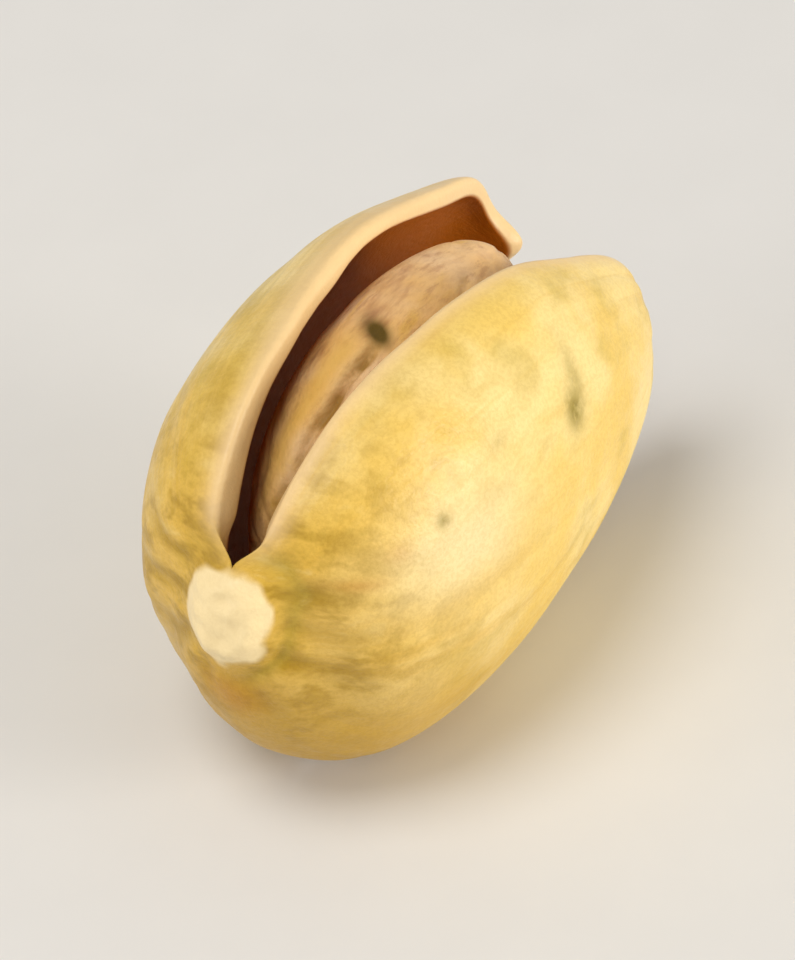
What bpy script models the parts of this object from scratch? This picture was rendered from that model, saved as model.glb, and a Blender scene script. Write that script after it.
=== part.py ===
# A pistachio in its shell, lying on its back seam with the split facing up.
# The woody shell is one piece: two halves that gape like a beak and still hold together round the stem scar.
# The kernel, in its papery skin, is loose and lies between them.
# Length runs along X from the stem scar to the tip, the right half is towards -Y, the seam plane is upright.
# Sizes are in millimetres and angles in degrees until the last step, which writes metres.

import bmesh
import bpy
import numpy as np
from mathutils import Matrix

METRES = 0.001

# Outline of the shut shell
SHELL_LENGTH = 20.5
HALF_HEIGHT = 7.08         # centre to seam, in the seam plane
HALF_WIDTH = 4.72          # centre to cheek
WALL = 1.05                # at the scar end
WALL_THINNED = 0.62        # towards the tip
WALL_THINNING = (-0.75, 0.35)   # where it thins out, from -1 at the scar end to 1 at the tip
BASE_FULLNESS = 0.26       # how much wider the scar end is than the middle, and slimmer the tip end
TIP_BLUNTNESS = 0.54       # extra height that squares the tip off in the seam plane
TIP_CHEEK = 0.15           # extra width close to the tip
TIP_LIFT = 1.42            # how far the tip bends towards the split
BASE_LIFT = 0.43           # the same for the scar end
HEEL_SWELL = 0.3           # the back seam bulges a little under the scar
HEEL_ALONG = -0.72         # where it does, from -1 at the scar end to 1 at the tip
HEEL_REACH = 0.3
SHOULDER_SWELL = 0.55      # the upper seam is fuller towards the tip
SHOULDER_ALONG = 0.35
SHOULDER_REACH = 0.36

# How the halves gape
WELD_X = -9.80             # the halves are one piece between the scar end and a slanting line
WELD_UP = 2.5              # through this point, so that they hold together right under the scar
WELD_TILT = 12.0
RIGHT_SPREAD = 4.65
LEFT_SPREAD = 5.05
CHEEK_ROLL = 3.85          # turn of each half about its back seam
ROLL_RUN = 0.6             # length over which that turn sets in, at the split
LOW_RUN = 2.0              # and over the lower half of the shell
LOW_BAND = (1.0, -5.0)     # heights between which the one becomes the other
SWING_RUN = 1.3            # length over which the halves are drawn back as they swing out
RIGHT_TIP_DROP = 1.1       # the right half's tip hangs lower than the left one's
LEFT_TIP_RISE = 0.5
SAW_CUT = 0.02             # width of the cut that parts the halves before they are spread

# Stem scar, a low oval boss on the blunt end
SCAR_HALF_WIDTH = 1.6
SCAR_HALF_HEIGHT = 2.1
SCAR_Z = 1.0               # its middle sits a little towards the split
SCAR_RISE = 0.45

# Kernel
KERNEL_LENGTH = 14.9
KERNEL_CENTRE = (-0.45, 0.38, 0.6)   # along, towards the right half, towards the split
KERNEL_HALF_HEIGHT = 5.65
KERNEL_HALF_WIDTH = 3.38
KERNEL_FULLNESS = 0.06     # as for the shell
KERNEL_BLUNTNESS = 0.30
KERNEL_TIP_LIFT = 1.8
KERNEL_BASE_LIFT = 0.3
KERNEL_SWING = 3.5         # its tip points towards the left half
KERNEL_LEAN = 7.0          # and its upper edge leans there too
KERNEL_CREASE = 0.20       # depth of the crease along its upper edge
KERNEL_CREASE_WIDTH = 0.16  # as a share of the half width

# Pose on the ground
NOSE_DOWN = 8.0            # brings the weight over the resting spot
REST_CUT = 0.22            # depth of the flat spot

SHELL_SEGMENTS, SHELL_RINGS = 64, 32
BASE_CROWDING = 0.25       # draws the shell's points towards the scar, where the form is finest
KERNEL_SEGMENTS, KERNEL_RINGS = 44, 24


def clear_scene():
    for obj in list(bpy.data.objects):
        bpy.data.objects.remove(obj, do_unlink=True)


def make_material(name, colour, roughness):
    material = bpy.data.materials.new(name)
    material.use_nodes = True
    shader = material.node_tree.nodes["Principled BSDF"]
    shader.inputs["Base Color"].default_value = (*colour, 1.0)
    shader.inputs["Roughness"].default_value = roughness
    shader.inputs["Metallic"].default_value = 0.0
    return material


def unit_sphere(segments, rings):
    # The poles are at the cheeks, so that one loop of edges runs round the seam.
    bm = bmesh.new()
    bmesh.ops.create_uvsphere(bm, u_segments=segments, v_segments=rings, radius=1.0)
    return bm


def points_of(mesh):
    flat = np.empty(len(mesh.vertices) * 3, np.float32)
    mesh.vertices.foreach_get("co", flat)
    return flat.reshape(-1, 3).astype(float)


def move_points(mesh, points):
    mesh.vertices.foreach_set("co", points.astype(np.float32).ravel())
    mesh.update()


def crowd_to_base(ball):
    # Slides points over the unit ball towards its scar end, keeping small squares square.
    along, up, out = ball.T
    scale = 1.0 / (1.0 - BASE_CROWDING * along)
    ring = np.sqrt(1.0 - BASE_CROWDING**2) * scale
    return np.stack([(along - BASE_CROWDING) * scale, up * ring, out * ring], axis=1)


def smooth_step(low, high, value):
    t = np.clip((value - low) / (high - low), 0.0, 1.0)
    return t * t * (3.0 - 2.0 * t)


def scar_relief(along, up, out):
    # A low boss with a flat top, only on the blunt end. reach is 1 on its oval edge.
    reach = np.hypot(out / SCAR_HALF_WIDTH, (up - SCAR_Z) / SCAR_HALF_HEIGHT)
    boss = SCAR_RISE * (1.0 - smooth_step(0.6, 1.1, reach))
    return np.where(along < 0.0, boss, 0.0)


def shut_shell(ball):
    # An egg: a stretched ball, fuller at the base and squared off at the tip. Both ends bend towards the
    # split. It has a slight heel at the back of the base and a slight shoulder in front of the tip.
    along, up, out = ball.T
    share = (1.0 + along) / 2.0
    fullness = 1.0 + BASE_FULLNESS * (1.0 - 2.0 * share)
    length = SHELL_LENGTH / 2.0 * along
    height = HALF_HEIGHT * up * (fullness + TIP_BLUNTNESS * share**12)
    height += TIP_LIFT * share**2.5 + BASE_LIFT * (1.0 - share) ** 2.5
    height -= HEEL_SWELL * np.exp(-(((along - HEEL_ALONG) / HEEL_REACH) ** 2)) * np.clip(-up, 0.0, 1.0)
    shoulder = np.exp(-(((along - SHOULDER_ALONG) / SHOULDER_REACH) ** 2))
    height += SHOULDER_SWELL * shoulder * np.clip(up, 0.0, 1.0) ** 3
    width = HALF_WIDTH * out * (fullness + TIP_CHEEK * share**6)
    length -= scar_relief(length, height, width)
    return np.stack([length, height, width], axis=1)


def turn(first, second, degrees):
    angle = np.radians(degrees)
    return first * np.cos(angle) - second * np.sin(angle), first * np.sin(angle) + second * np.cos(angle)


def kernel_shape(ball):
    # A stretched ball that follows the bend of the shell, creased along its upper edge.
    along, up, out = ball.T
    share = (1.0 + along) / 2.0
    fullness = 1.0 + KERNEL_FULLNESS * (1.0 - 2.0 * share)
    length = KERNEL_LENGTH / 2.0 * along
    crease = KERNEL_CREASE * np.exp(-((out / KERNEL_CREASE_WIDTH) ** 2)) * np.clip(up, 0.0, 1.0)
    height = KERNEL_HALF_HEIGHT * up * (fullness + KERNEL_BLUNTNESS * share**12) - crease
    height += KERNEL_TIP_LIFT * share**2.5 + KERNEL_BASE_LIFT * (1.0 - share) ** 2.5
    width = KERNEL_HALF_WIDTH * out * fullness
    width, height = turn(width, height, KERNEL_LEAN)
    length, width = turn(length, width, -KERNEL_SWING)
    middle_x, middle_right, middle_up = KERNEL_CENTRE
    return np.stack([length + middle_x, height + middle_up, width + middle_right], axis=1)


def spread(points, side):
    # Each half rolls about its back seam and swings out about the weld line.
    # side is 1 on the right half and -1 on the left one.
    length, height, width = points.T
    tilt = np.radians(WELD_TILT)
    lever = np.maximum((length - WELD_X) * np.cos(tilt) + (height - WELD_UP) * np.sin(tilt), 0.0)
    run = ROLL_RUN + (LOW_RUN - ROLL_RUN) * smooth_step(*LOW_BAND, height)
    roll = np.radians(CHEEK_ROLL) * (1.0 - np.exp(-((lever / run) ** 2)))
    swing = np.radians(np.where(side > 0.0, RIGHT_SPREAD, LEFT_SPREAD))
    tip_drop = np.where(side > 0.0, RIGHT_TIP_DROP, -LEFT_TIP_RISE)
    drop = tip_drop * np.clip(0.5 + length / SHELL_LENGTH, 0.0, 1.0) ** 4
    above = height + HALF_HEIGHT
    outward = width * side * np.cos(roll) + above * np.sin(roll)
    drawn_back = outward * np.sin(swing) * (1.0 - np.exp(-((lever / SWING_RUN) ** 2)))
    new_height = above * np.cos(roll) - width * side * np.sin(roll) - HALF_HEIGHT - drop
    new_height -= drawn_back * np.sin(tilt)
    new_length = length - drawn_back * np.cos(tilt)
    return np.stack([new_length, new_height, side * (outward + lever * np.tan(swing))], axis=1)


def to_ground_axes(points):
    # Length to X, right to -Y, height to Z, then the nose is dipped.
    length, height, width = points.T
    dip = np.radians(NOSE_DOWN)
    x = length * np.cos(dip) + height * np.sin(dip)
    z = height * np.cos(dip) - length * np.sin(dip)
    return np.stack([x, -width, z], axis=1)


def link_object(name, mesh, collection, material=None):
    obj = bpy.data.objects.new(name, mesh)
    collection.objects.link(obj)
    if material is not None:
        mesh.materials.append(material)
    return obj


def evaluated_mesh(obj):
    graph = bpy.context.evaluated_depsgraph_get()
    return bpy.data.meshes.new_from_object(obj.evaluated_get(graph), depsgraph=graph)


def make_box(name, low, high, collection):
    bm = bmesh.new()
    bmesh.ops.create_cube(bm, size=1.0)
    size = np.subtract(high, low)
    middle = np.add(high, low) / 2.0
    bmesh.ops.scale(bm, vec=size, verts=bm.verts)
    bmesh.ops.translate(bm, vec=middle, verts=bm.verts)
    mesh = bpy.data.meshes.new(name)
    bm.to_mesh(mesh)
    bm.free()
    obj = link_object(name, mesh, collection)
    obj.display_type = "WIRE"
    obj.hide_render = True
    return obj


def cut_with(obj, cutter):
    cut = obj.modifiers.new("cut by " + cutter.name, "BOOLEAN")
    cut.operation = "DIFFERENCE"
    cut.solver = "EXACT"
    cut.object = cutter


def make_shell(parts, cutters):
    # The shut shell gets its wall and the saw cut first, so the rims are flat, and is then spread.
    bm = unit_sphere(SHELL_SEGMENTS, SHELL_RINGS)
    mesh = bpy.data.meshes.new("shell_shut")
    bm.to_mesh(mesh)
    bm.free()
    ball = crowd_to_base(points_of(mesh))
    move_points(mesh, shut_shell(ball))
    shut = link_object("shell_shut", mesh, parts)
    thick = shut.vertex_groups.new(name="thick")
    for index, weight in enumerate(1.0 - smooth_step(*WALL_THINNING, ball[:, 0])):
        thick.add([index], float(weight), "REPLACE")
    wall = shut.modifiers.new("wall", "SOLIDIFY")
    wall.thickness = WALL
    wall.vertex_group = thick.name
    wall.thickness_vertex_group = WALL_THINNED / WALL
    wall.offset = -1.0
    wall.use_even_offset = True
    room = 2.0 * SHELL_LENGTH
    saw = make_box("seam_saw", (0.0, -room, -SAW_CUT / 2), (room, room, SAW_CUT / 2), cutters)
    slant = Matrix.Rotation(np.radians(WELD_TILT), 4, "Z")
    saw.data.transform(Matrix.Translation((WELD_X, WELD_UP, 0.0)) @ slant)
    cut_with(shut, saw)
    mesh = evaluated_mesh(shut)
    mesh.name = "shell"
    bpy.data.objects.remove(shut, do_unlink=True)
    bm = bmesh.new()
    bm.from_mesh(mesh)
    bmesh.ops.triangulate(bm, faces=bm.faces)
    bm.to_mesh(mesh)
    bm.free()
    points = points_of(mesh)
    side = np.where(points[:, 2] > 0.0, 1.0, -1.0)
    move_points(mesh, to_ground_axes(spread(points, side)))
    material = make_material("shell", (0.80, 0.63, 0.31), 0.45)
    return link_object("shell", mesh, parts, material)


def make_kernel(parts):
    bm = unit_sphere(KERNEL_SEGMENTS, KERNEL_RINGS)
    mesh = bpy.data.meshes.new("kernel")
    bm.to_mesh(mesh)
    bm.free()
    move_points(mesh, to_ground_axes(kernel_shape(points_of(mesh))))
    material = make_material("kernel", (0.55, 0.33, 0.17), 0.6)
    return link_object("kernel", mesh, parts, material)


def seat_on_ground(objects, shell, cutters):
    # Centre over the origin, sink the back seam by the depth of the flat spot, and cut that off.
    points = points_of(shell.data)
    low, high = points.min(axis=0), points.max(axis=0)
    shift = np.array([-(low[0] + high[0]) / 2.0, -(low[1] + high[1]) / 2.0, -low[2] - REST_CUT])
    for obj in objects:
        move_points(obj.data, (points_of(obj.data) + shift) * METRES)
    room = SHELL_LENGTH * METRES
    ground = make_box("ground_cutter", (-room, -room, -room), (room, room, 0.0), cutters)
    cut_with(shell, ground)


def shade_round(obj):
    obj.data.shade_smooth()
    obj.data.set_sharp_from_angle(angle=np.radians(40.0))


def main():
    clear_scene()
    parts = bpy.data.collections.new("pistachio_in_shell")
    cutters = bpy.data.collections.new("cutters")
    for collection in (parts, cutters):
        bpy.context.scene.collection.children.link(collection)
    shell = make_shell(parts, cutters)
    kernel = make_kernel(parts)
    seat_on_ground((shell, kernel), shell, cutters)
    for obj in (shell, kernel):
        shade_round(obj)


main()
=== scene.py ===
import bpy
import numpy as np
from mathutils import Matrix, Vector


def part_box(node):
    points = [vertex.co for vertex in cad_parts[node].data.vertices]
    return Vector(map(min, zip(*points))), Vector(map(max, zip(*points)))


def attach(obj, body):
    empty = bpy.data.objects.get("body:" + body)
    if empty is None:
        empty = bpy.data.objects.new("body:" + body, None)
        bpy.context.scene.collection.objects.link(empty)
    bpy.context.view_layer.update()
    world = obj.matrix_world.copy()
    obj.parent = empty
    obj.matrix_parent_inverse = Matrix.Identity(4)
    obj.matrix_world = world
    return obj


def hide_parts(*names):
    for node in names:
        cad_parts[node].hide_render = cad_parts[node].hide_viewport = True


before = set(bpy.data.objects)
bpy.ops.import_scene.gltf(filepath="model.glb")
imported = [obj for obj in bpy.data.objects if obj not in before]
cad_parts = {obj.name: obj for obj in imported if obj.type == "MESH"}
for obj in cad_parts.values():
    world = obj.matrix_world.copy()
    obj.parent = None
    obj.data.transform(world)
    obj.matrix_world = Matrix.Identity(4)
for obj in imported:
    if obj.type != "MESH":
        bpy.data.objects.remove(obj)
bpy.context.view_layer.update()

mm = 0.001
print("frame loaded:", sorted(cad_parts))


# The form of the shut shell, the same as the solid's. Along runs from the stem scar to the tip,
# up towards the split, and out towards the right cheek.
shellForm = {
    "length": 20.5,
    "halfHeight": 7.08,
    "halfWidth": 4.72,
    "wallBase": 1.05,          # the wall thins out towards the tip
    "wallTip": 0.62,
    "wallBand": (-0.75, 0.35), # between these places along, from -1 to 1
    "baseFullness": 0.26,      # wider at the scar end, slimmer at the tip
    "tipBluntness": 0.54,
    "tipCheek": 0.15,
    "tipLift": 1.42,           # how far the tip bends towards the split
    "baseLift": 0.43,
    "heelSwell": 0.3,          # the back seam bulges a little under the scar
    "heelAlong": -0.72,
    "heelReach": 0.3,
    "shoulderSwell": 0.55,     # the upper seam is fuller towards the tip
    "shoulderAlong": 0.35,
    "shoulderReach": 0.36,
    "cells": 168,              # cells across each half's outer sheet
    "lipRows": 5,
    "wallRows": 2,
    "innerRows": 13,
    "crowding": 0.22,          # draws the cells towards the scar
}

# How the two halves gape. The solid has the same values, apart from a turn that sets in a little
# more slowly, and it has neither the left edge's rise nor its curl.
gape = {
    "weld": -9.80,             # the halves are one from the scar end to a slanting line
    "weldUp": 2.5,             # through this point
    "weldTilt": 12.0,
    "rightSwing": 4.65,
    "leftSwing": 5.05,
    "roll": 3.85,
    "rollRun": 0.48,           # the turn sets in quickly at the split
    "lowRun": 2.0,             # and slowly below it
    "lowBand": (1.0, -5.0),
    "swingRun": 1.3,
    "rightTipDrop": 1.1,
    "leftTipRise": 0.5,
    "leftRise": 0.15,          # the left half's edge stands a little higher half way along
    "leftRiseAlong": 0.8,
    "leftRiseReach": 3.0,
    "leftRiseWidth": 1.6,
    "noseDown": 8.0,
    "beak": (10.2, 1.7),       # a small curl of the left edge at the tip, towards the right half
    "beakReach": (0.9, 0.8),
    "beakOut": 0.85,
}

# Fine relief of the shell, in millimetres
shellRelief = {
    "scarHalfWidth": 1.5,
    "scarHalfHeight": 1.85,
    "scarUp": 1.2,
    "scarRise": 0.45,
    "scarEdge": (0.52, 1.08),
    "scarDish": 0.03,
    "scarRough": 0.05,
    "moatDepth": 0.16,
    "moatReach": 1.24,
    "moatWidth": 0.15,
    "moatLeft": 0.15,          # share of the depth that is left on the scar's left side
    "foldDepth": 0.14,
    "foldCount": 10.0,
    "foldTurn": 80.0,
    "foldReach": (1.02, 1.35, 3.1),  # where the folds start, are deepest and end, in scar sizes
    "foldSlant": 0.6,
    "foldTop": (2.4, 4.2),     # heights over which they fade
    "foldGap": (0.2, 1.2),     # and distances from the seam
    "grainOval": (4.7, 7.1),   # half width and half height of the oval that the grain runs round
    "grooveDepth": 0.045,
    "grooveWidth": 0.35,
    "swellDepth": 0.05,
    "edgeWave": 0.05,
    "edgeReach": 1.2,
    "lipRound": (0.20, 0.45),  # at the scar end and the tip end, and half way along the left half
    "lipMiddle": (0.1, 0.4),   # where along that is, and over what reach
    "innerRound": 0.16,
    "lipFade": (0.02, 1.0),    # the lip grows over this distance from the weld
    "rightLean": 0.65,         # near the scar the edges' inner corners lean into the slit
    "leftLean": 0.32,
    "leanRun": (0.8, 5.5),
    # Small stains: place along, up and out, reach, and strength
    "blemishes": [
        ((1.7, 4.2, 3.65), (0.48, 0.60, 1.2), 0.95),
        ((2.3, 5.0, 3.2), (0.36, 1.0, 1.2), 0.45),
        ((-5.3, 4.15, 3.80), (0.25, 0.25, 0.4), 0.75),
        ((-2.3, 5.2, 3.4), (0.5, 0.25, 0.4), 0.35),
        ((4.2, 2.4, 3.1), (0.16, 0.16, 0.3), 0.6),
    ],
    # A painted highlight: a pale patch on the right cheek that widens the lamp's highlight, as
    # place and reach
    "paintedHighlightPatch": ((-4.6, 3.0, 4.2), (3.0, 1.7, 2.5)),
    "paleEdge": (0.5, 0.7),    # how far the edge's tint runs out, and how much more on the left
    "flushes": [
        ((-6.9, 3.7, 3.4), (0.45, 0.30, 1.0), 0.75),
        ((-8.3, 2.95, 2.9), (0.9, 0.20, 1.0), 0.9),
        ((-9.9, -1.9, 0.0), (1.5, 0.95, 1.0), 1.0),
    ],
}

kernelForm = {
    "length": 14.9,
    "centre": (-0.45, 0.38, 0.6),   # along, towards the right half, towards the split
    "halfHeight": 5.65,
    "halfWidth": 3.38,
    "fullness": 0.06,
    "bluntness": 0.30,
    "tipLift": 1.8,
    "baseLift": 0.3,
    "swing": 3.5,
    "lean": 7.0,
    "crease": 0.12,            # a shallow hollow along the upper edge
    "creaseWidth": 0.16,
    "seam": 0.30,              # the line between the two lobes, from the notch to the base
    "seamAlong": (-0.95, -0.90, -0.80, -0.61, -0.37, -0.10),
    "seamOut": (-0.24, -0.20, -0.06, 0.04, 0.13, 0.17),
    "seamWidth": 0.055,
    "seamStart": (-0.12, -0.28),     # it sinks in between these places along
    # The painted shade along the seam sets in between these places along, and this is its width
    "seamShade": (-0.05, -0.3),       # the same for its colour
    "seamShadeWidth": 0.075,
    "ridge": (-0.24, 0.16),          # the lighter ridge beside it: how far aside, and its width
    "notch": (-1.35, 6.36, 0.06),    # a short dark furrow, and the way it runs
    "notchWay": (-0.6, 0.0, 0.8),
    "notchReach": (0.72, 0.33),
    "notchDepth": 0.08,
    "wrinkle": 0.045,
    "wrinkleWidth": 0.4,
    "wrinkleStretch": 0.14,
    "cells": 150,
}


def smoothStep(low, high, value):
    # 0 up to low, 1 from high on, and 3t^2 - 2t^3 between. Low may be the greater of the two.
    t = np.clip((value - low) / (high - low), 0.0, 1.0)
    return t * t * (3.0 - 2.0 * t)


def bell(value, middle, width):
    # A bell: 1 in the middle, and e^-1 a width away from it
    return np.exp(-(((value - middle) / width) ** 2))


def turn(first, second, degrees):
    # A pair of coordinates turned by an angle: a cos t - b sin t, and a sin t + b cos t
    angle = np.radians(degrees)
    cosine, sine = np.cos(angle), np.sin(angle)
    return first * cosine - second * sine, first * sine + second * cosine


def waves(place, size, seed, count=10):
    # A smooth uneven field, about -1 to 1: sine waves in random directions, added up
    rng = np.random.default_rng(seed)
    heading = rng.normal(size=(count, place.shape[-1]))
    heading /= np.linalg.norm(heading, axis=1, keepdims=True)
    pitch = rng.uniform(0.7, 1.4, count) * 2.0 * np.pi / size
    start = rng.uniform(0.0, 2.0 * np.pi, count)
    return np.sin(place @ (heading * pitch[:, None]).T + start).sum(axis=-1) / np.sqrt(count)


def squareToDisc(cells):
    # A square of cells pressed into a disc: x = a sqrt(1 - b^2 / 2), y = b sqrt(1 - a^2 / 2)
    line = np.linspace(-1.0, 1.0, cells + 1)
    a, b = np.meshgrid(line, line, indexing="ij")
    x, y = a * np.sqrt(1.0 - b * b / 2.0), b * np.sqrt(1.0 - a * a / 2.0)
    radius = np.where(np.maximum(np.abs(a), np.abs(b)) == 1.0, 1.0, np.hypot(x, y))
    return radius, np.arctan2(y, x)


def rimAngles(cells):
    # The same points along the disc's edge, one side of the square after the other
    quarter = np.arcsin(np.linspace(-1.0, 1.0, cells + 1)[:-1] / np.sqrt(2.0))
    return np.concatenate([quarter + corner * np.pi / 2.0 for corner in range(4)])


def ballPoint(angle, out, side):
    # A point of the ball: (cos a r, sin a r, out), where r is the square root of 1 - out^2. The
    # angle runs round the seam from the tip towards the split.
    angle = angle + shellForm["crowding"] * np.sin(angle)
    ring = np.sqrt(np.clip(1.0 - out * out, 0.0, 1.0))
    return np.stack([np.cos(angle) * ring, np.sin(angle) * ring, side * out], axis=-1)


def fullness(share, amount):
    # Fuller at the base and slimmer at the tip: 1 + amount at share 0, 1 - amount at share 1
    return 1.0 + amount * (1.0 - 2.0 * share)


def cheekWidth(along):
    # Half width: the fullness, and a little more at the tip with the sixth power of the length
    share = (1.0 + along) / 2.0
    wide = fullness(share, shellForm["baseFullness"])
    return shellForm["halfWidth"] * (wide + shellForm["tipCheek"] * share**6)


def eggForm(ball):
    # A stretched ball, fuller at the base, squared off at the tip, both ends bent towards the split
    along, up, out = np.moveaxis(ball, -1, 0)
    share = (1.0 + along) / 2.0
    tall = fullness(share, shellForm["baseFullness"])
    length = shellForm["length"] / 2.0 * along
    height = shellForm["halfHeight"] * up * (tall + shellForm["tipBluntness"] * share**12)
    height = height + shellForm["tipLift"] * share**2.5
    height = height + shellForm["baseLift"] * (1.0 - share) ** 2.5
    heel = bell(along, shellForm["heelAlong"], shellForm["heelReach"])
    shoulder = bell(along, shellForm["shoulderAlong"], shellForm["shoulderReach"])
    height = height - shellForm["heelSwell"] * heel * np.clip(-up, 0.0, 1.0)
    height = height + shellForm["shoulderSwell"] * shoulder * np.clip(up, 0.0, 1.0) ** 3
    width = cheekWidth(along) * out
    return np.stack([length, height, width], axis=-1)


def unit(vectors):
    # Each vector over its own length
    return vectors / np.linalg.norm(vectors, axis=-1, keepdims=True)


def outwardNormal(form, ball):
    # Two short steps over the ball, square to each other, and the cross product of where they lead
    steep = np.abs(ball[..., 1:2]) < 0.7
    aside = np.where(steep, np.array([0.0, 1.0, 0.0]), np.array([1.0, 0.0, 0.0]))
    first = unit(np.cross(ball, aside))
    second = np.cross(ball, first)
    step = 1e-4
    here = form(ball)
    ahead, beside = form(unit(ball + step * first)), form(unit(ball + step * second))
    return unit(np.cross(ahead - here, beside - here))


def scarReach(place):
    # 1 on the scar's oval edge, 0 in its middle
    length, height, width = np.moveaxis(place, -1, 0)
    wobble = 0.05 * waves(np.stack([height, width], axis=-1), 2.6, 5, 6)
    reach = np.hypot(width / shellRelief["scarHalfWidth"],
                     (height - shellRelief["scarUp"]) / shellRelief["scarHalfHeight"]) + wobble
    return np.where(length < 0.0, reach, 9.0)


def foldPattern(place):
    # Folds that run out from the scar like the spokes of a wheel: 1 in a valley, 0 on a ridge
    height, width = place[..., 1], place[..., 2]
    reach = scarReach(place)
    spoke = np.arctan2(height - shellRelief["scarUp"], width)
    bend = 0.5 * waves(place, 4.0, 11, 6)
    start = np.radians(shellRelief["foldTurn"])
    slant = shellRelief["foldSlant"] * (reach - 2.0)
    spokes = 0.5 + 0.5 * np.sin(spoke * shellRelief["foldCount"] + start + bend - slant)
    first, deepest, last = shellRelief["foldReach"]
    band = smoothStep(first, deepest, reach) * (1.0 - smoothStep(deepest, last, reach))
    uneven = np.clip(0.75 + 0.35 * waves(place, 2.4, 13, 8), 0.0, 1.0)
    lower = 1.0 - smoothStep(*shellRelief["foldTop"], height)
    return spokes**1.5 * band * lower * uneven * smoothStep(*shellRelief["foldGap"], np.abs(width))


def moatPattern(place):
    # A ring close round the scar, deepest on its right
    width = place[..., 2]
    reach = scarReach(place)
    ring = bell(reach, shellRelief["moatReach"], shellRelief["moatWidth"])
    left = shellRelief["moatLeft"]
    return ring * (left + (1.0 - left) * smoothStep(-0.2, 0.8, width))


def meridian(place):
    # Where a point lies round the long axis, so that a pattern can run from base to tip: a
    # direction of length 1 across the axis, and the length over the whole length
    length, height, width = np.moveaxis(place, -1, 0)
    middle = shellForm["tipLift"] * np.clip(0.5 + length / shellForm["length"], 0.0, 1.0) ** 2.5
    wide, tall = shellRelief["grainOval"]
    around = np.stack([width / wide, (height - middle) / tall], axis=-1)
    size = np.linalg.norm(around, axis=-1, keepdims=True) + 1e-6
    return np.concatenate([around / size, length[..., None] / shellForm["length"]], axis=-1)


def outsideDrop(place):
    # How far the fine relief lies below the egg: the grooves, a slight swell, the folds and the
    # ring round the scar, each its pattern times its depth
    fromBase = place[..., 0] + shellForm["length"] / 2.0
    groove = np.abs(waves(meridian(place) * np.array([1.0, 1.0, 0.7]), 0.55, 21, 12))
    groove = bell(groove, 0.0, shellRelief["grooveWidth"]) * smoothStep(0.0, 2.5, fromBase)
    swell = 0.2 + 0.5 * waves(place, 6.0, 3)
    drop = shellRelief["grooveDepth"] * groove + shellRelief["swellDepth"] * swell
    drop = drop + shellRelief["foldDepth"] * foldPattern(place)
    return drop + shellRelief["moatDepth"] * moatPattern(place)


def wallDepth(along):
    # The wall's thickness, which eases from the base's to the tip's
    base, tip = shellForm["wallBase"], shellForm["wallTip"]
    return base + (tip - base) * smoothStep(*shellForm["wallBand"], along)


def shellPlace(ball, depth):
    # depth is 0 on the outside and 1 on the inside, and straight between. The scar rises along
    # the length, and the rest drops inwards.
    smooth = eggForm(ball)
    normal = outwardNormal(eggForm, ball)
    reach = scarReach(smooth)
    low, high = shellRelief["scarEdge"]
    dish = shellRelief["scarDish"] * np.exp(-3.0 * reach**2)
    dish = dish + shellRelief["scarRough"] * (1.0 + waves(smooth, 0.9, 9, 8))
    boss = (shellRelief["scarRise"] - dish) * (1.0 - smoothStep(low, high, reach))
    outside = smooth - normal * outsideDrop(smooth)[..., None]
    outside[..., 0] -= boss
    inside = smooth - normal * wallDepth(ball[..., :1])
    return outside + (inside - outside) * depth[..., None]


def weldLever(place):
    # How far a point lies past the slanting weld line, and 0 before it
    tilt = np.radians(gape["weldTilt"])
    along, up = place[..., 0] - gape["weld"], place[..., 1] - gape["weldUp"]
    return np.maximum(along * np.cos(tilt) + up * np.sin(tilt), 0.0)


def spreadHalf(place, side):
    # Each half rolls about its back seam by r and swings out about the weld line by s. Its new
    # width is w cos r + h sin r + lever tan s, and its new height is h cos r - w sin r.
    length, height, width = np.moveaxis(place, -1, 0)
    lever, tilt = weldLever(place), np.radians(gape["weldTilt"])
    quick, slow = gape["rollRun"], gape["lowRun"]
    run = quick + (slow - quick) * smoothStep(*gape["lowBand"], height)
    onset = 1.0 - np.exp(-((lever / run) ** 2))
    wave = 0.5 + 0.5 * waves(place[..., :2], 3.2, 31, 8)
    edge = shellRelief["edgeWave"] * np.clip(wave, 0.0, 1.0) * onset
    aside = width * side + edge * bell(width, 0.0, shellRelief["edgeReach"])
    roll = np.radians(gape["roll"]) * onset
    swing = np.radians(gape["rightSwing"] if side > 0.0 else gape["leftSwing"])
    tipDrop = gape["rightTipDrop"] if side > 0.0 else -gape["leftTipRise"]
    drop = tipDrop * np.clip(0.5 + length / shellForm["length"], 0.0, 1.0) ** 4
    above = height + shellForm["halfHeight"]
    outward = aside * np.cos(roll) + above * np.sin(roll)
    if side < 0.0:
        outward = outward - gape["beakOut"] * spot(place[..., :2], gape["beak"], gape["beakReach"])
        near = bell(width, 0.0, gape["leftRiseWidth"])
        near = near * bell(length, gape["leftRiseAlong"], gape["leftRiseReach"])
        drop = drop - gape["leftRise"] * near * smoothStep(0.0, 4.0, height)
    drawnBack = outward * np.sin(swing) * (1.0 - np.exp(-((lever / gape["swingRun"]) ** 2)))
    newHeight = above * np.cos(roll) - aside * np.sin(roll) - shellForm["halfHeight"]
    newHeight = newHeight - drop * onset - drawnBack * np.sin(tilt)
    newLength = length - drawnBack * np.cos(tilt)
    return np.stack([newLength, newHeight, side * (outward + lever * np.tan(swing))], axis=-1)


def toGroundAxes(place):
    # Length to X, right to -Y, height to Z, then the nose is dipped
    length, height, width = np.moveaxis(place, -1, 0)
    dip = np.radians(gape["noseDown"])
    x = length * np.cos(dip) + height * np.sin(dip)
    z = height * np.cos(dip) - length * np.sin(dip)
    return np.stack([x, -width, z], axis=-1)


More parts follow.
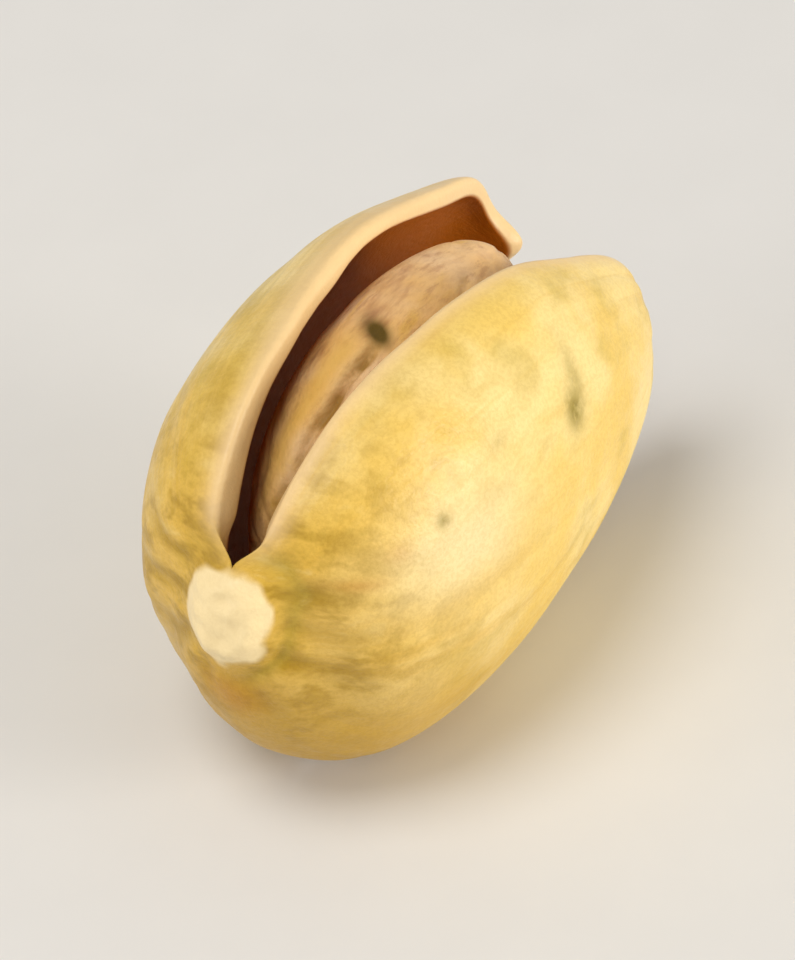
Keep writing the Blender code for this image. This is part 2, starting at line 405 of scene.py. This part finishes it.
def gridFaces(rows, columns, wrapped, flipped):
    # Two triangles for each cell of a grid; wrapped joins the last row to the first. The diagonal
    # is the same when flipped, so that walls of the two halves that meet back to back have the
    # same triangles.
    count = rows if wrapped else rows - 1
    i, j = np.meshgrid(np.arange(count), np.arange(columns - 1), indexing="ij")
    near, far = i * columns, ((i + 1) % rows) * columns
    a, b, c, d = [corner.ravel() for corner in (near + j, far + j, far + j + 1, near + j + 1)]
    if flipped:
        b, d = d, b
    return np.concatenate([np.stack([a, b, c], axis=1), np.stack([a, c, d], axis=1)])


def closedMesh(name, sheets, fields):
    # sheets are (points, faces). Points that coincide become one, and walls that meet back to
    # back go.
    points = np.concatenate([sheet[0].reshape(-1, 3) for sheet in sheets])
    starts = np.cumsum([0] + [len(sheet[0].reshape(-1, 3)) for sheet in sheets[:-1]])
    faces = np.concatenate([sheet[1] + start for sheet, start in zip(sheets, starts)])
    keys = np.round(points / 1e-5).astype(np.int64)
    _, first, index = np.unique(keys, axis=0, return_index=True, return_inverse=True)
    points, faces = points[first], index.reshape(-1)[faces]
    fields = {key: value[first] for key, value in fields.items()}
    a, b, c = faces.T
    faces = faces[(a != b) & (b != c) & (c != a)]
    corners = np.sort(faces, axis=1)
    _, same, times = np.unique(corners, axis=0, return_inverse=True, return_counts=True)
    faces = faces[times[same.reshape(-1)] == 1]
    used, faces = np.unique(faces, return_inverse=True)
    faces = faces.reshape(-1, 3)
    points = points[used]
    mesh = bpy.data.meshes.new(name)
    mesh.vertices.add(len(points))
    mesh.vertices.foreach_set("co", (points * mm).astype(np.float32).ravel())
    mesh.loops.add(faces.size)
    mesh.loops.foreach_set("vertex_index", faces.astype(np.int32).ravel())
    mesh.polygons.add(len(faces))
    mesh.polygons.foreach_set("loop_start", np.arange(0, faces.size, 3, dtype=np.int32))
    mesh.polygons.foreach_set("use_smooth", np.ones(len(faces), dtype=bool))
    mesh.update(calc_edges=True)
    for key, value in fields.items():
        field = mesh.attributes.new(key, "FLOAT_VECTOR", "POINT")
        field.data.foreach_set("vector", value[used].astype(np.float32).ravel())
    obj = bpy.data.objects.new(name, mesh)
    bpy.context.scene.collection.objects.link(obj)
    print(name, len(points), "points,", len(faces), "triangles")
    return obj


def rimForm(angle, side):
    # The lip's rounding and lean, which fade out where the slit ends at the weld, the fade itself,
    # and the cheek's width there. The lean is for the upper edges alone. The fade goes by the
    # wall's nearer side to the weld.
    ball = ballPoint(angle, np.zeros_like(angle), 1.0)
    outer = eggForm(ball)
    inner = outer - outwardNormal(eggForm, ball) * wallDepth(ball[..., :1])
    lever = np.minimum(weldLever(outer), weldLever(inner))
    fade = smoothStep(*shellRelief["lipFade"], lever)
    ends, middle = shellRelief["lipRound"]
    thicker = bell(ball[..., 0], *shellRelief["lipMiddle"]) * (ball[..., 1] > 0.0) * (side < 0.0)
    lip = (ends + (middle - ends) * thicker) * fade
    lean = shellRelief["rightLean"] if side > 0.0 else shellRelief["leftLean"]
    lean = lean * fade * (1.0 - smoothStep(*shellRelief["leanRun"], lever))
    return lip, lean * smoothStep(0.0, 0.5, ball[..., 1]), fade, cheekWidth(ball[..., 0])


def halfShell(side):
    # The outer sheet, then rings from its edge over the lip, down the wall and across the inside
    cells = shellForm["cells"]
    radius, angle = squareToDisc(cells)
    lip, _, _, cheek = rimForm(angle, side)
    edge = np.arccos(np.clip(lip / cheek, 0.0, 1.0))
    ball = ballPoint(angle, np.cos(radius * edge), side)
    ball[radius == 1.0] = ballPoint(angle, np.cos(edge), side)[radius == 1.0]
    depth = np.zeros(radius.shape)
    outer = (ball.reshape(-1, 3), depth.ravel(), gridFaces(cells + 1, cells + 1, False, side < 0.0))
    angle = rimAngles(cells)
    lip, lean, fade, cheek = [value[:, None] for value in rimForm(angle, side)]
    wall = wallDepth(ballPoint(angle, np.zeros_like(angle), side)[:, :1])
    inner = shellRelief["innerRound"] * fade
    bow = np.linspace(0.0, np.pi / 2.0, shellForm["lipRows"] + 1)[None, :]
    between = np.linspace(0.0, 1.0, shellForm["wallRows"] + 1)[None, 1:-1]
    # Away from the seam plane and into the wall: a quarter round, the flat wall, a quarter round
    away = np.concatenate([
        lip * (1.0 - np.sin(bow)), 0.0 * lip * between, inner * (1.0 - np.cos(bow))], axis=1)
    sink = np.concatenate([
        lip * (1.0 - np.cos(bow)), lip + (wall - inner - lip) * between,
        wall - inner * (1.0 - np.sin(bow))], axis=1) / wall
    plain = np.linspace(0.0, 1.0, sink.shape[1])[None, :]
    sink = plain + (sink - plain) * fade
    rounded = (away - lean * smoothStep(0.0, 1.0, sink)) / cheek
    start = np.arccos(rounded[:, -1:])
    rest = np.cos(start * np.linspace(1.0, 0.0, shellForm["innerRows"] + 1)[None, 1:])
    out = np.concatenate([rounded, rest], axis=1)
    depth = np.concatenate([sink, np.ones(rest.shape)], axis=1)
    rings = ballPoint(angle[:, None] + np.zeros(out.shape), out, side)
    faces = gridFaces(len(angle), out.shape[1], True, side > 0.0)
    return [outer, (rings.reshape(-1, 3), depth.ravel(), faces)]


def patches(place, marks):
    # Soft round patches added up, each with its own centre, reach and strength
    return sum(strength * spot(place, centre, size) for centre, size, strength in marks)


def makeShell():
    # Both halves spread, put on the ground and moved to the solid's box. The fields keep places
    # of the shut shell, so that the colours don't stretch.
    sheets, places, depths = [], [], []
    for side in (1.0, -1.0):
        for ball, depth, faces in halfShell(side):
            place = shellPlace(ball, depth)
            sheets.append([toGroundAxes(spreadHalf(place, side)), faces])
            places.append(place)
            depths.append(depth)
    low = np.min([sheet[0].min(axis=0) for sheet in sheets], axis=0)
    high = np.max([sheet[0].max(axis=0) for sheet in sheets], axis=0)
    boxLow, boxHigh = [np.array(corner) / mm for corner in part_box("shell")]
    shift = (boxLow + boxHigh) / 2.0 - (low + high) / 2.0
    shift[2] = boxHigh[2] - high[2]
    for sheet in sheets:
        sheet[0] = np.clip(sheet[0] + shift, boxLow, boxHigh)
    place, depth = np.concatenate(places), np.concatenate(depths)
    reach = scarReach(place)
    # The pale edge runs on over the outside, further on the left half's front
    plain, more = shellRelief["paleEdge"]
    reachOut = plain + more * (place[:, 2] < 0.0) * smoothStep(-6.0, -1.0, place[:, 0])
    lip = bell(place[:, 2], 0.0, reachOut) * smoothStep(0.0, 1.2, weldLever(place))
    rightHalf = smoothStep(0.0, 0.3, place[:, 2]) * (1.0 - depth)
    blemish = patches(place, shellRelief["blemishes"])
    flush = patches(place, shellRelief["flushes"])
    # The painted highlight on the right cheek
    paintedHighlight = spot(place, *shellRelief["paintedHighlightPatch"])
    fields = {
        "place": place,
        "grain": meridian(place),
        "marks": np.stack([blemish * rightHalf, flush * (1.0 - depth), rightHalf], axis=1),
        "parts": np.stack([lip, depth, paintedHighlight * rightHalf], axis=1),
        "hollows": np.stack([foldPattern(place), moatPattern(place), reach / 10.0], axis=1),
    }
    return closedMesh("shell_halves", sheets, fields), shift


def seamLine(along):
    # How far out on the ball the line between the lobes runs, with a slight wander
    wander = 0.02 * waves(np.asarray(along)[..., None], 0.35, 51, 6)
    return np.interp(along, kernelForm["seamAlong"], kernelForm["seamOut"]) + wander


def kernelPlace(ball):
    # A stretched ball that follows the bend of the shell, with a crease and the line between the
    # lobes along its upper edge
    along, up, out = np.moveaxis(ball, -1, 0)
    share = (1.0 + along) / 2.0
    full = fullness(share, kernelForm["fullness"])
    length = kernelForm["length"] / 2.0 * along
    crease = kernelForm["crease"] * bell(out, 0.0, kernelForm["creaseWidth"])
    seam = bell(out, seamLine(along), kernelForm["seamWidth"])
    seam = seam * smoothStep(*kernelForm["seamStart"], along)
    crease = (crease + kernelForm["seam"] * seam) * np.clip(up, 0.0, 1.0)
    height = kernelForm["halfHeight"] * up * (full + kernelForm["bluntness"] * share**12) - crease
    height = height + kernelForm["tipLift"] * share**2.5
    height = height + kernelForm["baseLift"] * (1.0 - share) ** 2.5
    width = kernelForm["halfWidth"] * out * full
    width, height = turn(width, height, kernelForm["lean"])
    length, width = turn(length, width, -kernelForm["swing"])
    middle, right, rise = kernelForm["centre"]
    return np.stack([length + middle, height + rise, width + right], axis=-1)


def kernelWrinkles(place):
    # Lengthwise wrinkles of the skin, deepest where the uneven field crosses nought
    stretched = place * np.array([kernelForm["wrinkleStretch"], 1.0, 1.0])
    return bell(waves(stretched, 1.7, 41, 12), 0.0, kernelForm["wrinkleWidth"])


def spot(place, centre, size):
    # A soft round patch, 1 in its middle; size is its reach along, up and out
    return np.exp(-((((place - np.array(centre)) / np.array(size)) ** 2).sum(axis=-1)))


def notchShape(place):
    # A soft mark, long along its way and narrow across it
    away = place - np.array(kernelForm["notch"])
    run = away @ np.array(kernelForm["notchWay"])
    aside = (away**2).sum(axis=-1) - run**2
    long, narrow = kernelForm["notchReach"]
    return np.exp(-((run / long) ** 2) - aside / narrow**2)


def makeKernel(shift):
    # Two half balls with the wrinkles pressed in, moved along with the shell
    sheets, places = [], []
    cells = kernelForm["cells"]
    radius, angle = squareToDisc(cells)
    for side in (1.0, -1.0):
        ball = ballPoint(angle, np.cos(radius * np.pi / 2.0), side)
        ball[radius == 1.0, 2] = 0.0
        ball = ball.reshape(-1, 3)
        place = kernelPlace(ball)
        sink = kernelForm["wrinkle"] * kernelWrinkles(place)
        sink = sink + kernelForm["notchDepth"] * notchShape(place)
        sunk = place - outwardNormal(kernelPlace, ball) * sink[:, None]
        faces = gridFaces(cells + 1, cells + 1, False, side < 0.0)
        sheets.append([toGroundAxes(sunk) + shift, faces])
        places.append(np.concatenate([place, ball], axis=1))
    places = np.concatenate(places)
    place, (along, up, out) = places[:, :3], places[:, 3:].T
    behind = smoothStep(*kernelForm["seamShade"], along) * np.clip(up * 1.5, 0.0, 1.0)
    aside = out - seamLine(along)
    ridge = bell(aside, *kernelForm["ridge"]) * behind
    # Painted shade along the seam between the lobes
    seam = bell(aside, 0.0, kernelForm["seamShadeWidth"]) * behind
    # A dark mark in the notch
    darkNotch = np.clip(1.5 * notchShape(place), 0.0, 1.0)
    fields = {"place": place, "marks": np.stack([ridge, seam, darkNotch], axis=1)}
    return closedMesh("kernel_skin", sheets, fields)


shell, shift = makeShell()
kernel = makeKernel(shift)


class Wire:
    # One output of a material's node. A sum on it adds a Math node, with a number on either side.
    def __init__(self, tree, socket):
        self.tree, self.socket = tree, socket

    def sum(self, operation, first, second):
        return addNode(self.tree, "ShaderNodeMath", {"operation": operation}, {0: first, 1: second})

    def __add__(self, other):
        return self.sum("ADD", self, other)

    def __sub__(self, other):
        return self.sum("SUBTRACT", self, other)

    def __mul__(self, other):
        return self.sum("MULTIPLY", self, other)

    def __rsub__(self, other):
        return self.sum("SUBTRACT", other, self)

    __radd__ = __add__
    __rmul__ = __mul__


def addNode(tree, kind, settings, inputs, output=0):
    # Settings first, then values or wires for its sockets; gives back one output
    node = tree.nodes.new(kind)
    for key, value in settings.items():
        setattr(node, key, value)
    for key, value in inputs.items():
        setSocket(node, key, value)
    return Wire(tree, node.outputs[output])


def setSocket(node, key, value):
    # A wire is joined to the socket, a number or colour is set on it
    if isinstance(value, Wire):
        value.tree.links.new(value.socket, node.inputs[key])
    else:
        node.inputs[key].default_value = value


def newFinish(name):
    # A new material with its node tree and its shader
    material = bpy.data.materials.new(name)
    material.use_nodes = True
    tree = material.node_tree
    return material, tree, tree.nodes["Principled BSDF"]


def field(tree, name):
    # One of the mesh's own fields, three numbers at each point
    return addNode(tree, "ShaderNodeAttribute", {"attribute_name": name}, {}, "Vector")


def split(wire):
    # The three numbers of a field as wires of their own
    first = addNode(wire.tree, "ShaderNodeSeparateXYZ", {}, {0: wire})
    return [Wire(wire.tree, socket) for socket in first.socket.node.outputs]


def stretch(wire, scale):
    # Each of the three numbers times its own scale, so that a pattern runs long one way
    settings = {"operation": "MULTIPLY"}
    return addNode(wire.tree, "ShaderNodeVectorMath", settings, {0: wire, 1: scale})


def noise(wire, scale, detail=3.0, roughness=0.5, distortion=0.0):
    # An uneven pattern about 0.5, with scale cells for each unit of the wire
    return addNode(wire.tree, "ShaderNodeTexNoise", {}, {
        "Vector": wire, "Scale": scale, "Detail": detail, "Roughness": roughness,
        "Distortion": distortion})


def fromTo(wire, low, high, first=0.0, second=1.0):
    # Maps low..high to first..second with soft ends
    return addNode(wire.tree, "ShaderNodeMapRange", {"interpolation_type": "SMOOTHSTEP"}, {
        "Value": wire, "From Min": low, "From Max": high, "To Min": first, "To Max": second})


def blendColour(share, first, second, how="MIX"):
    # The first colour at share 0 and the second at share 1. Sockets 6 and 7 are the colours,
    # and output 2 is the colour that comes out.
    first, second = [(*c, 1.0) if isinstance(c, tuple) else c for c in (first, second)]
    settings = {"data_type": "RGBA", "blend_type": how, "clamp_factor": True}
    return addNode(share.tree, "ShaderNodeMix", settings, {0: share, 6: first, 7: second}, 2)


def grainBump(tree, finish, height):
    # A bump of the finish's own depth from a pattern
    distance = finish["bump"] * mm
    return addNode(tree, "ShaderNodeBump", {}, {
        "Strength": finish["bumpStrength"], "Distance": distance, "Height": height})


shellFinish = {
    "cream": (0.86, 0.60, 0.15),
    "pale": (0.93, 0.72, 0.29),
    "straw": (0.72, 0.42, 0.035),
    "olive": (0.50, 0.35, 0.035),
    "rim": (0.96, 0.68, 0.36),
    # a deep brown for the inside, darker than the shell's own inside, as painted shade in the slit
    "inside": (0.42, 0.11, 0.004),
    "scar": (0.97, 0.77, 0.42),
    # the dark colour of the painted shade in the folds and round the scar end
    "fold": (0.40, 0.23, 0.008),
    # painted shade towards the bottom of the base
    "under": (0.54, 0.31, 0.02),
    "orange": (0.56, 0.27, 0.02),
    "stain": (0.26, 0.19, 0.01),
    "pore": (0.80, 0.74, 0.60),
    # the pale colour of the painted highlight
    "paintedHighlight": (0.95, 0.78, 0.42),
    "roughness": (0.30, 0.44),
    "gloss": 0.3,
    "bump": 0.05,              # millimetres
    "bumpStrength": 0.6,
}


def makeShellFinish():
    # Colours laid one over the other, each with its own share: cloudy cream, straw streaks and
    # olive patches, painted shade round the base, in the folds, in the ring round the scar and
    # towards the bottom, stains and flushes, a painted highlight on the right cheek, the scar,
    # pores, rim, and the inside darkened as painted shade
    material, tree, shader = newFinish("shell_wood")
    place, grain = field(tree, "place"), field(tree, "grain")
    lip, depth, paintedHighlight = split(field(tree, "parts"))
    fold, moat, reach = split(field(tree, "hollows"))
    blemish, flush, rightHalf = split(field(tree, "marks"))
    finish = shellFinish
    cloud = noise(place, 0.28, 3.0)
    streak = noise(stretch(grain, (6.0, 6.0, 1.6)), 1.0, 4.0, 0.6, 0.4)
    thread = noise(stretch(grain, (26.0, 26.0, 3.0)), 1.0, 3.0, 0.6)
    colour = blendColour(fromTo(cloud, 0.35, 0.65), finish["cream"], finish["pale"])
    patch = noise(stretch(place, (0.7, 1.0, 1.0)), 0.55, 2.0, 0.55)
    mottle = noise(stretch(place, (0.9, 1.3, 0.7)), 0.8, 3.0, 0.6)
    length, height = split(place)[:2]
    # Painted shade round the scar end: 1 near the scar, fading towards the middle
    base = fromTo(reach, 0.12, 0.42, 1.0, 0.0) * fromTo(length, -4.5, -0.2, 1.0, 0.0)
    fine = noise(stretch(grain, (13.0, 13.0, 2.2)), 1.0, 3.0, 0.6)
    leftStreak = fromTo(fine, 0.38, 0.62, 1.0, 0.0) * (1.0 - rightHalf) * 0.30
    colour = blendColour(fromTo(streak, 0.50, 0.75) * 0.45, colour, finish["straw"])
    colour = blendColour(leftStreak, colour, finish["olive"])
    colour = blendColour(fromTo(patch, 0.50, 0.70) * 0.38, colour, finish["olive"])
    # Painted shade: 1 towards the bottom and the scar end, where the shell is made darker and more
    # orange
    under = fromTo(height, -4.5, 1.0, 1.0, 0.0) * fromTo(length, -7.0, 2.0, 1.0, 0.0)
    # Painted shade round the scar end: a darker, warmer straw
    colour = blendColour(base * 0.75, colour, finish["straw"])
    colour = blendColour(base * fromTo(mottle, 0.30, 0.42, 1.0, 0.0) * 0.35, colour, finish["pale"])
    colour = blendColour(under * 0.85, colour, finish["under"])
    # Uneven darker patches within the painted shade round the scar end
    colour = blendColour(base * fromTo(mottle, 0.44, 0.64) * 0.8, colour, finish["fold"])
    # Painted shade in the valleys of the folds
    colour = blendColour(fold * 0.9, colour, finish["fold"])
    # Painted shade in the ring round the scar, deepest on its right
    colour = blendColour(moat * 0.6, colour, finish["olive"])
    colour = blendColour(flush * 0.85, colour, finish["orange"])
    # A painted highlight: the right cheek turns pale round the lamp's highlight
    colour = blendColour(paintedHighlight * 0.8, colour, finish["paintedHighlight"])
    blotchy = fromTo(noise(place, 3.0, 2.0), 0.3, 0.5, 0.7, 1.0)
    colour = blendColour(blemish * blotchy, colour, finish["stain"])
    uneven = noise(place, 0.9, 1.0) * 0.05
    scar = fromTo(reach + uneven, 0.112, 0.127, 1.0, 0.0) * (1.0 - depth)
    colour = blendColour(scar, colour, finish["scar"])
    pores = noise(place, 7.0, 4.0, 0.7)
    pitted = fromTo(pores, 0.40, 0.58, 0.36, 0.0) * (1.0 - scar * 0.6)
    colour = blendColour(pitted, colour, finish["pore"], "MULTIPLY")
    colour = blendColour(lip * 0.8, colour, finish["rim"])
    # Painted shade: the inside of the shell is darkened to a deep brown, for the shadow in the slit
    # round the kernel
    colour = blendColour(fromTo(depth, 0.75, 1.0), colour, finish["inside"])
    low, high = finish["roughness"]
    setSocket(shader, "Base Color", colour)
    setSocket(shader, "Roughness", fromTo(noise(place, 2.0, 4.0), 0.3, 0.7, low, high))
    setSocket(shader, "Specular IOR Level", finish["gloss"])
    rough = thread * 0.35 + noise(place, 1.6, 3.0, 0.6) * 1.2 + pores * 0.6
    setSocket(shader, "Normal", grainBump(tree, finish, rough))
    return material


kernelFinish = {
    "tan": (0.92, 0.55, 0.20),
    "pink": (0.95, 0.64, 0.35),
    "plum": (0.45, 0.18, 0.08),
    "gold": (0.85, 0.51, 0.10),
    # the near black of the dark mark in the notch
    "darkNotch": (0.12, 0.07, 0.004),
    # the dark colour of the painted shade along the seam between the lobes
    "groove": (0.30, 0.15, 0.012),
    "fleck": (0.72, 0.60, 0.50),
    "roughness": (0.45, 0.7),
    "gloss": 0.3,
    "bump": 0.08,              # millimetres
    "bumpStrength": 0.6,
}


def makeKernelFinish():
    # Tan and pink clouds, gold and plum streaks, veins and flecks, then painted shade along the
    # seam and a dark mark in the notch
    material, tree, shader = newFinish("kernel_skin")
    place = field(tree, "place")
    finish = kernelFinish
    streak = noise(stretch(place, (0.25, 0.9, 0.9)), 0.9, 4.0, 0.6, 0.3)
    fleck = noise(stretch(place, (0.5, 1.0, 1.0)), 4.0, 4.0, 0.6)
    vein = noise(stretch(place, (0.35, 1.4, 1.4)), 1.7, 5.0, 0.68)
    colour = blendColour(fromTo(noise(place, 0.35, 2.0), 0.35, 0.65), finish["tan"], finish["pink"])
    colour = blendColour(fromTo(streak, 0.52, 0.72) * 0.7, colour, finish["gold"])
    colour = blendColour(fromTo(streak, 0.28, 0.44, 1.0, 0.0) * 0.6, colour, finish["plum"])
    colour = blendColour(fromTo(vein, 0.34, 0.47, 0.36, 0.0), colour, finish["plum"])
    colour = blendColour(fromTo(fleck, 0.38, 0.56, 0.25, 0.0), colour, finish["fleck"], "MULTIPLY")
    ridge, seam, darkNotch = split(field(tree, "marks"))
    uneven = fromTo(noise(place, 1.2, 3.0, 0.6), 0.35, 0.60, 0.45, 1.0)
    colour = blendColour(ridge * 0.8, colour, finish["gold"])
    # Painted shade along the seam between the lobes
    colour = blendColour(seam * uneven * 0.9, colour, finish["groove"])
    # A dark mark in the notch
    colour = blendColour(darkNotch, colour, finish["darkNotch"])
    low, high = finish["roughness"]
    setSocket(shader, "Base Color", colour)
    setSocket(shader, "Roughness", fromTo(fleck, 0.3, 0.7, low, high))
    setSocket(shader, "Specular IOR Level", finish["gloss"])
    setSocket(shader, "Normal", grainBump(tree, finish, fleck + vein * 0.8))
    return material


shell.data.materials.append(makeShellFinish())
kernel.data.materials.append(makeKernelFinish())
for piece, node, slot in ((shell, "shell", "shell"), (kernel, "kernel", "kernel")):
    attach(piece, "root")
    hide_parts(node)
print("pieces placed and finished")


stageLook = {
    "floorSize": 3.0,
    "floorColour": (0.80, 0.79, 0.77),
    "floorShade": 0.96,        # the darker of the paper's two tones
    "floorRoughness": 0.9,
    "worldColour": (1.0, 0.96, 0.90),
    "worldStrength": 0.40,
}


def makeStage():
    # A square sheet of paper at height 0, and an even light from all round
    half = stageLook["floorSize"] / 2.0
    mesh = bpy.data.meshes.new("floor")
    corners = [(-half, -half, 0.0), (half, -half, 0.0), (half, half, 0.0), (-half, half, 0.0)]
    mesh.from_pydata(corners, [], [(0, 1, 2, 3)])
    floor = bpy.data.objects.new("floor", mesh)
    bpy.context.scene.collection.objects.link(floor)
    material, tree, shader = newFinish("floor_paper")
    grain = noise(addNode(tree, "ShaderNodeTexCoord", {}, {}, "Object"), 300.0, 3.0)
    shade = stageLook["floorColour"]
    darker = tuple(stageLook["floorShade"] * c for c in shade)
    setSocket(shader, "Base Color", blendColour(grain, shade, darker))
    setSocket(shader, "Roughness", stageLook["floorRoughness"])
    mesh.materials.append(material)
    world = bpy.data.worlds.new("studio")
    bpy.context.scene.world = world
    world.use_nodes = True
    back = world.node_tree.nodes["Background"]
    back.inputs["Color"].default_value = (*stageLook["worldColour"], 1.0)
    back.inputs["Strength"].default_value = stageLook["worldStrength"]


# Round lamps, with distances and sizes in metres and power in watts
lamps = {
    "key": {"towards": (0.26, -0.95, 0.16), "away": 0.45, "size": 0.20, "power": 1.5,
            "colour": (1.0, 0.97, 0.92)},
    "top": {"towards": (-0.35, 0.1, 1.0), "away": 0.5, "size": 0.25, "power": 1.1,
            "colour": (1.0, 0.98, 0.95)},
    "fill": {"towards": (-0.8, 0.55, 0.35), "away": 0.5, "size": 0.35, "power": 0.60,
             "colour": (0.98, 0.98, 1.0)},
}


def makeLamps():
    # Each lamp stands its distance away from the origin and looks back at it
    for name, lamp in lamps.items():
        light = bpy.data.lights.new(name, "AREA")
        light.shape = "DISK"
        light.size, light.energy, light.color = lamp["size"], lamp["power"], lamp["colour"]
        obj = bpy.data.objects.new(name, light)
        direction = Vector(lamp["towards"]).normalized()
        obj.location = direction * lamp["away"]
        obj.rotation_euler = direction.to_track_quat("Z", "Y").to_euler()
        bpy.context.scene.collection.objects.link(obj)


# The photograph's own direction, as the way back to the lens and the way up in the picture
cameraPlace = {
    "back": (-0.60620, -0.40981, 0.68161),
    "up": (0.61613, 0.29993, 0.72830),
    "lens": 420.0,             # this and the sensor in millimetres
    "sensor": 36.0,
    "frameHeight": 29.5,       # millimetres seen from top to bottom at the nut
    "aim": (0.0, 0.0, 6.6),    # the point at the picture's middle, in millimetres
    "clip": (0.01, 20.0),      # metres
}


def makeCamera():
    # The camera stands off from its aim by seen height * lens / sensor, and looks back at it
    camera = bpy.data.cameras.new("camera")
    camera.lens, camera.sensor_width = cameraPlace["lens"], cameraPlace["sensor"]
    obj = bpy.data.objects.new("camera", camera)
    bpy.context.scene.collection.objects.link(obj)
    back = Vector(cameraPlace["back"]).normalized()
    up = Vector(cameraPlace["up"]).normalized()
    right = up.cross(back).normalized()
    up = back.cross(right)
    distance = cameraPlace["frameHeight"] * mm * camera.lens / camera.sensor_width
    turned = Matrix((right, up, back)).transposed().to_4x4()
    turned.translation = Vector(cameraPlace["aim"]) * mm + back * distance
    obj.matrix_world = turned
    camera.clip_start, camera.clip_end = cameraPlace["clip"]
    bpy.context.scene.camera = obj


makeStage()
makeLamps()
makeCamera()
bpy.context.scene.view_settings.view_transform = "Standard"
print("stage, lamps and camera set")
